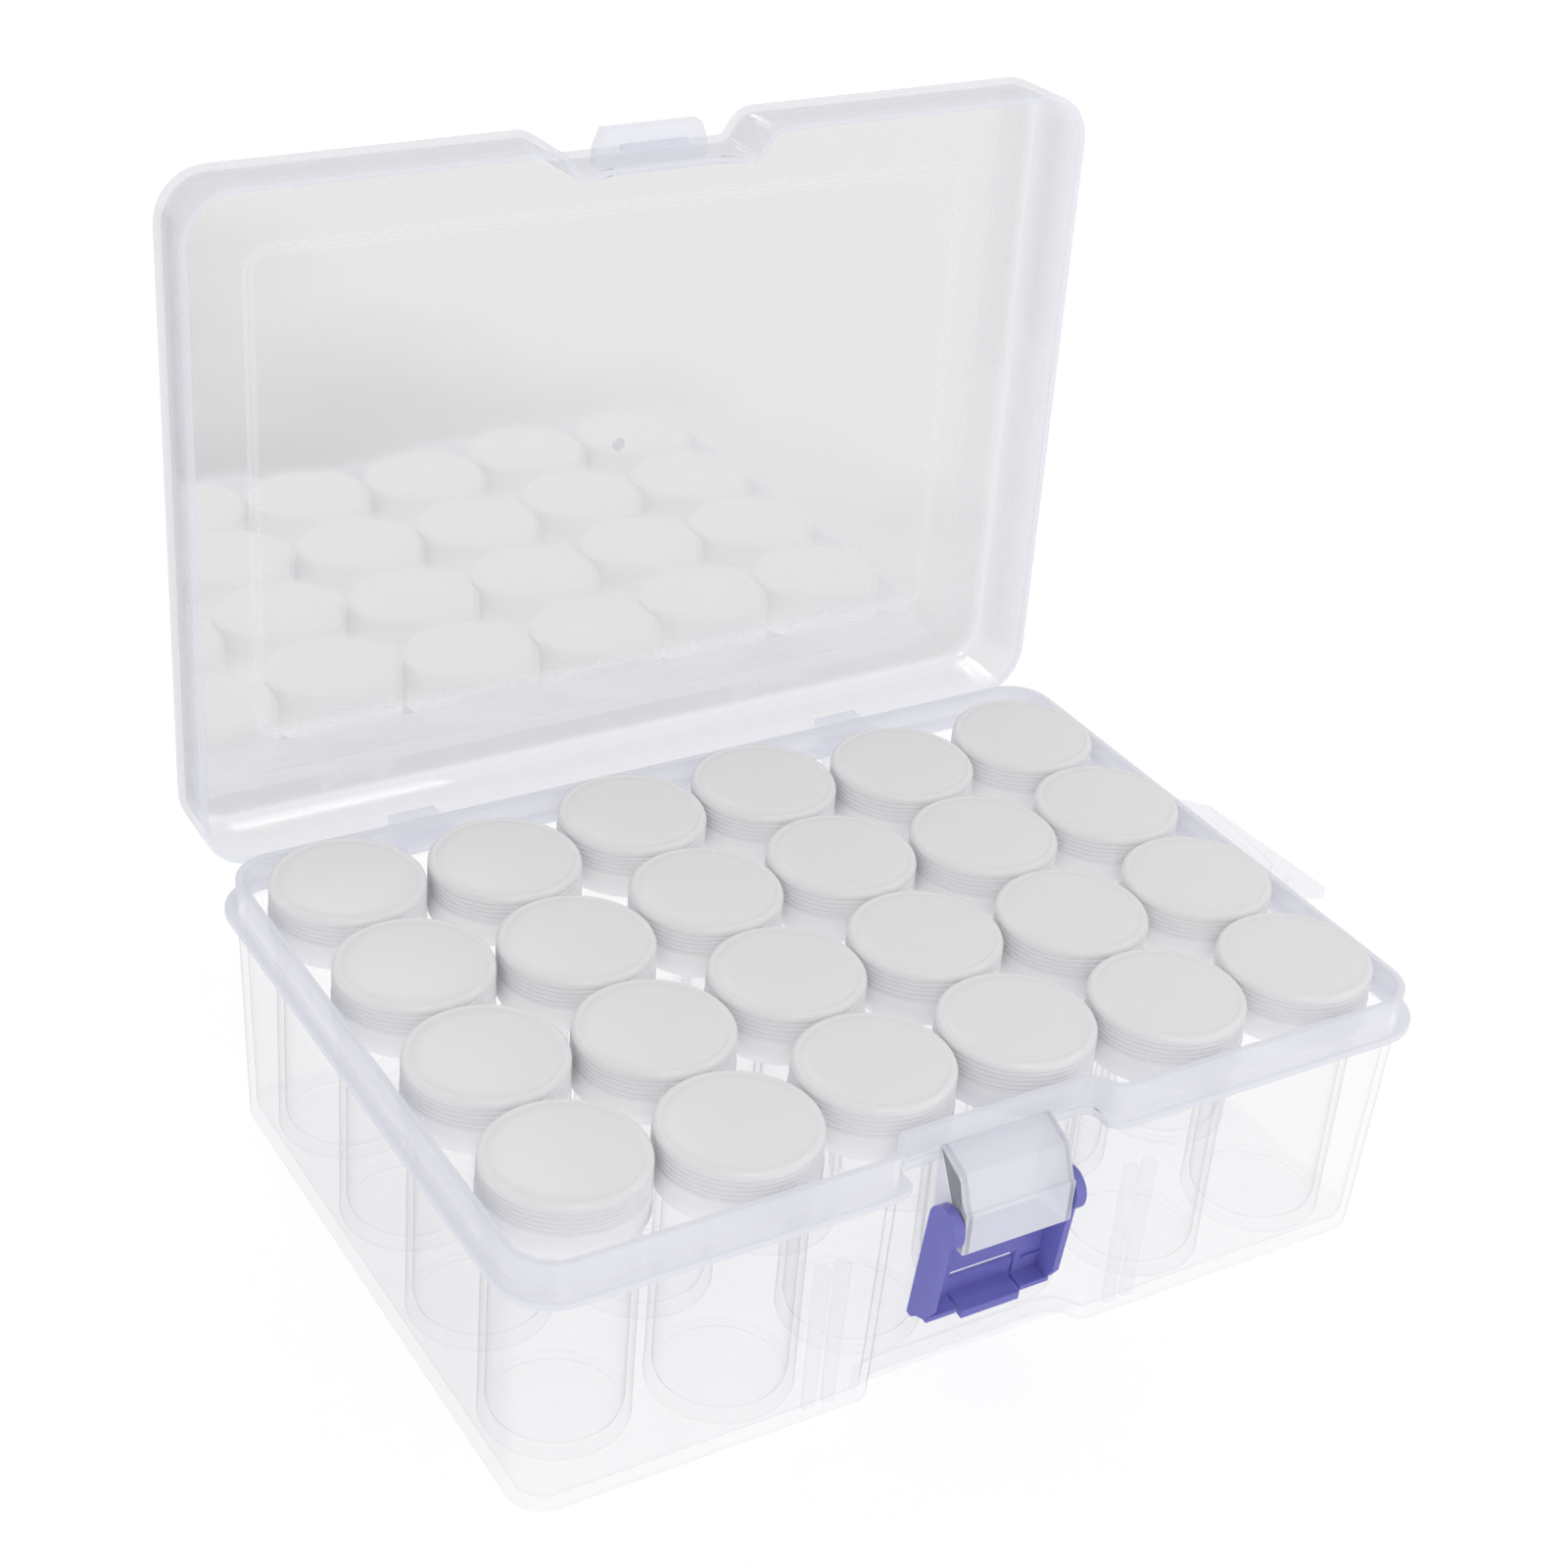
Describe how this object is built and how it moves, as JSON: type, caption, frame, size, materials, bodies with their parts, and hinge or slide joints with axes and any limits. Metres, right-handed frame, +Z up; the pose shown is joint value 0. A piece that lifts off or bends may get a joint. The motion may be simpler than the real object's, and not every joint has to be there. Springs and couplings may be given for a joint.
{
  "type": "bobbin box",
  "caption": "Clear hinged storage box with a swing latch and a side hang loop, holding screw-top jars in rows for bobbins, beads and other sewing notions.",
  "frame": {"origin": "middle of the tray's underside, on the surface the box stands on", "axes": "+Z up, +X to the right along the front wall, +Y to the back, where the hinge is"},
  "size_m": [0.1845, 0.1444, 0.1682],
  "materials": {
    "clear_tray": "clear moulded polypropylene, glossy",
    "clear_lid": "clear moulded polypropylene, glossy",
    "latch_blue": "blue-violet moulded plastic, satin gloss",
    "jar_clear": "clear moulded plastic, glossy",
    "cap_frosted": "milky translucent moulded plastic"
  },
  "bodies": {
    "tray": {"base_tray": "clear_tray"},
    "lid": {"lid": "clear_lid"},
    "latch": {"latch": "latch_blue"},
    "jar_01": {"jar_01": "jar_clear"},
    "cap_01": {"cap_01": "cap_frosted"},
    "jar_02": {"jar_02": "jar_clear"},
    "cap_02": {"cap_02": "cap_frosted"},
    "jar_03": {"jar_03": "jar_clear"},
    "cap_03": {"cap_03": "cap_frosted"},
    "jar_04": {"jar_04": "jar_clear"},
    "cap_04": {"cap_04": "cap_frosted"},
    "jar_05": {"jar_05": "jar_clear"},
    "cap_05": {"cap_05": "cap_frosted"},
    "jar_06": {"jar_06": "jar_clear"},
    "cap_06": {"cap_06": "cap_frosted"},
    "jar_07": {"jar_07": "jar_clear"},
    "cap_07": {"cap_07": "cap_frosted"},
    "jar_08": {"jar_08": "jar_clear"},
    "cap_08": {"cap_08": "cap_frosted"},
    "jar_09": {"jar_09": "jar_clear"},
    "cap_09": {"cap_09": "cap_frosted"},
    "jar_10": {"jar_10": "jar_clear"},
    "cap_10": {"cap_10": "cap_frosted"},
    "jar_11": {"jar_11": "jar_clear"},
    "cap_11": {"cap_11": "cap_frosted"},
    "jar_12": {"jar_12": "jar_clear"},
    "cap_12": {"cap_12": "cap_frosted"},
    "jar_13": {"jar_13": "jar_clear"},
    "cap_13": {"cap_13": "cap_frosted"},
    "jar_14": {"jar_14": "jar_clear"},
    "cap_14": {"cap_14": "cap_frosted"},
    "jar_15": {"jar_15": "jar_clear"},
    "cap_15": {"cap_15": "cap_frosted"},
    "jar_16": {"jar_16": "jar_clear"},
    "cap_16": {"cap_16": "cap_frosted"},
    "jar_17": {"jar_17": "jar_clear"},
    "cap_17": {"cap_17": "cap_frosted"},
    "jar_18": {"jar_18": "jar_clear"},
    "cap_18": {"cap_18": "cap_frosted"},
    "jar_19": {"jar_19": "jar_clear"},
    "cap_19": {"cap_19": "cap_frosted"},
    "jar_20": {"jar_20": "jar_clear"},
    "cap_20": {"cap_20": "cap_frosted"},
    "jar_21": {"jar_21": "jar_clear"},
    "cap_21": {"cap_21": "cap_frosted"},
    "jar_22": {"jar_22": "jar_clear"},
    "cap_22": {"cap_22": "cap_frosted"},
    "jar_23": {"jar_23": "jar_clear"},
    "cap_23": {"cap_23": "cap_frosted"},
    "jar_24": {"jar_24": "jar_clear"},
    "cap_24": {"cap_24": "cap_frosted"}
  },
  "joints": [
    {"name": "lid_hinge", "type": "hinge", "parent": "tray", "child": "lid", "pos_m": [0, 0.0628, 0.0444], "axis": [-1, 0, 0], "range_deg": [-90.8, 0]},
    {"name": "latch_hinge", "type": "hinge", "parent": "tray", "child": "latch", "pos_m": [0, -0.0605, 0.0347], "axis": [1, 0, 0], "range_deg": [-187, 0]},
    {"name": "jar_01_lift", "type": "slide", "parent": "tray", "child": "jar_01", "axis": [0, 0, 1], "range_m": [0, 0.06]},
    {"name": "cap_01_lift", "type": "slide", "parent": "jar_01", "child": "cap_01", "axis": [0, 0, 1], "range_m": [0, 0.02]},
    {"name": "jar_02_lift", "type": "slide", "parent": "tray", "child": "jar_02", "axis": [0, 0, 1], "range_m": [0, 0.06]},
    {"name": "cap_02_lift", "type": "slide", "parent": "jar_02", "child": "cap_02", "axis": [0, 0, 1], "range_m": [0, 0.02]},
    {"name": "jar_03_lift", "type": "slide", "parent": "tray", "child": "jar_03", "axis": [0, 0, 1], "range_m": [0, 0.06]},
    {"name": "cap_03_lift", "type": "slide", "parent": "jar_03", "child": "cap_03", "axis": [0, 0, 1], "range_m": [0, 0.02]},
    {"name": "jar_04_lift", "type": "slide", "parent": "tray", "child": "jar_04", "axis": [0, 0, 1], "range_m": [0, 0.06]},
    {"name": "cap_04_lift", "type": "slide", "parent": "jar_04", "child": "cap_04", "axis": [0, 0, 1], "range_m": [0, 0.02]},
    {"name": "jar_05_lift", "type": "slide", "parent": "tray", "child": "jar_05", "axis": [0, 0, 1], "range_m": [0, 0.06]},
    {"name": "cap_05_lift", "type": "slide", "parent": "jar_05", "child": "cap_05", "axis": [0, 0, 1], "range_m": [0, 0.02]},
    {"name": "jar_06_lift", "type": "slide", "parent": "tray", "child": "jar_06", "axis": [0, 0, 1], "range_m": [0, 0.06]},
    {"name": "cap_06_lift", "type": "slide", "parent": "jar_06", "child": "cap_06", "axis": [0, 0, 1], "range_m": [0, 0.02]},
    {"name": "jar_07_lift", "type": "slide", "parent": "tray", "child": "jar_07", "axis": [0, 0, 1], "range_m": [0, 0.06]},
    {"name": "cap_07_lift", "type": "slide", "parent": "jar_07", "child": "cap_07", "axis": [0, 0, 1], "range_m": [0, 0.02]},
    {"name": "jar_08_lift", "type": "slide", "parent": "tray", "child": "jar_08", "axis": [0, 0, 1], "range_m": [0, 0.06]},
    {"name": "cap_08_lift", "type": "slide", "parent": "jar_08", "child": "cap_08", "axis": [0, 0, 1], "range_m": [0, 0.02]},
    {"name": "jar_09_lift", "type": "slide", "parent": "tray", "child": "jar_09", "axis": [0, 0, 1], "range_m": [0, 0.06]},
    {"name": "cap_09_lift", "type": "slide", "parent": "jar_09", "child": "cap_09", "axis": [0, 0, 1], "range_m": [0, 0.02]},
    {"name": "jar_10_lift", "type": "slide", "parent": "tray", "child": "jar_10", "axis": [0, 0, 1], "range_m": [0, 0.06]},
    {"name": "cap_10_lift", "type": "slide", "parent": "jar_10", "child": "cap_10", "axis": [0, 0, 1], "range_m": [0, 0.02]},
    {"name": "jar_11_lift", "type": "slide", "parent": "tray", "child": "jar_11", "axis": [0, 0, 1], "range_m": [0, 0.06]},
    {"name": "cap_11_lift", "type": "slide", "parent": "jar_11", "child": "cap_11", "axis": [0, 0, 1], "range_m": [0, 0.02]},
    {"name": "jar_12_lift", "type": "slide", "parent": "tray", "child": "jar_12", "axis": [0, 0, 1], "range_m": [0, 0.06]},
    {"name": "cap_12_lift", "type": "slide", "parent": "jar_12", "child": "cap_12", "axis": [0, 0, 1], "range_m": [0, 0.02]},
    {"name": "jar_13_lift", "type": "slide", "parent": "tray", "child": "jar_13", "axis": [0, 0, 1], "range_m": [0, 0.06]},
    {"name": "cap_13_lift", "type": "slide", "parent": "jar_13", "child": "cap_13", "axis": [0, 0, 1], "range_m": [0, 0.02]},
    {"name": "jar_14_lift", "type": "slide", "parent": "tray", "child": "jar_14", "axis": [0, 0, 1], "range_m": [0, 0.06]},
    {"name": "cap_14_lift", "type": "slide", "parent": "jar_14", "child": "cap_14", "axis": [0, 0, 1], "range_m": [0, 0.02]},
    {"name": "jar_15_lift", "type": "slide", "parent": "tray", "child": "jar_15", "axis": [0, 0, 1], "range_m": [0, 0.06]},
    {"name": "cap_15_lift", "type": "slide", "parent": "jar_15", "child": "cap_15", "axis": [0, 0, 1], "range_m": [0, 0.02]},
    {"name": "jar_16_lift", "type": "slide", "parent": "tray", "child": "jar_16", "axis": [0, 0, 1], "range_m": [0, 0.06]},
    {"name": "cap_16_lift", "type": "slide", "parent": "jar_16", "child": "cap_16", "axis": [0, 0, 1], "range_m": [0, 0.02]},
    {"name": "jar_17_lift", "type": "slide", "parent": "tray", "child": "jar_17", "axis": [0, 0, 1], "range_m": [0, 0.06]},
    {"name": "cap_17_lift", "type": "slide", "parent": "jar_17", "child": "cap_17", "axis": [0, 0, 1], "range_m": [0, 0.02]},
    {"name": "jar_18_lift", "type": "slide", "parent": "tray", "child": "jar_18", "axis": [0, 0, 1], "range_m": [0, 0.06]},
    {"name": "cap_18_lift", "type": "slide", "parent": "jar_18", "child": "cap_18", "axis": [0, 0, 1], "range_m": [0, 0.02]},
    {"name": "jar_19_lift", "type": "slide", "parent": "tray", "child": "jar_19", "axis": [0, 0, 1], "range_m": [0, 0.06]},
    {"name": "cap_19_lift", "type": "slide", "parent": "jar_19", "child": "cap_19", "axis": [0, 0, 1], "range_m": [0, 0.02]},
    {"name": "jar_20_lift", "type": "slide", "parent": "tray", "child": "jar_20", "axis": [0, 0, 1], "range_m": [0, 0.06]},
    {"name": "cap_20_lift", "type": "slide", "parent": "jar_20", "child": "cap_20", "axis": [0, 0, 1], "range_m": [0, 0.02]},
    {"name": "jar_21_lift", "type": "slide", "parent": "tray", "child": "jar_21", "axis": [0, 0, 1], "range_m": [0, 0.06]},
    {"name": "cap_21_lift", "type": "slide", "parent": "jar_21", "child": "cap_21", "axis": [0, 0, 1], "range_m": [0, 0.02]},
    {"name": "jar_22_lift", "type": "slide", "parent": "tray", "child": "jar_22", "axis": [0, 0, 1], "range_m": [0, 0.06]},
    {"name": "cap_22_lift", "type": "slide", "parent": "jar_22", "child": "cap_22", "axis": [0, 0, 1], "range_m": [0, 0.02]},
    {"name": "jar_23_lift", "type": "slide", "parent": "tray", "child": "jar_23", "axis": [0, 0, 1], "range_m": [0, 0.06]},
    {"name": "cap_23_lift", "type": "slide", "parent": "jar_23", "child": "cap_23", "axis": [0, 0, 1], "range_m": [0, 0.02]},
    {"name": "jar_24_lift", "type": "slide", "parent": "tray", "child": "jar_24", "axis": [0, 0, 1], "range_m": [0, 0.06]},
    {"name": "cap_24_lift", "type": "slide", "parent": "jar_24", "child": "cap_24", "axis": [0, 0, 1], "range_m": [0, 0.02]}
  ]
}
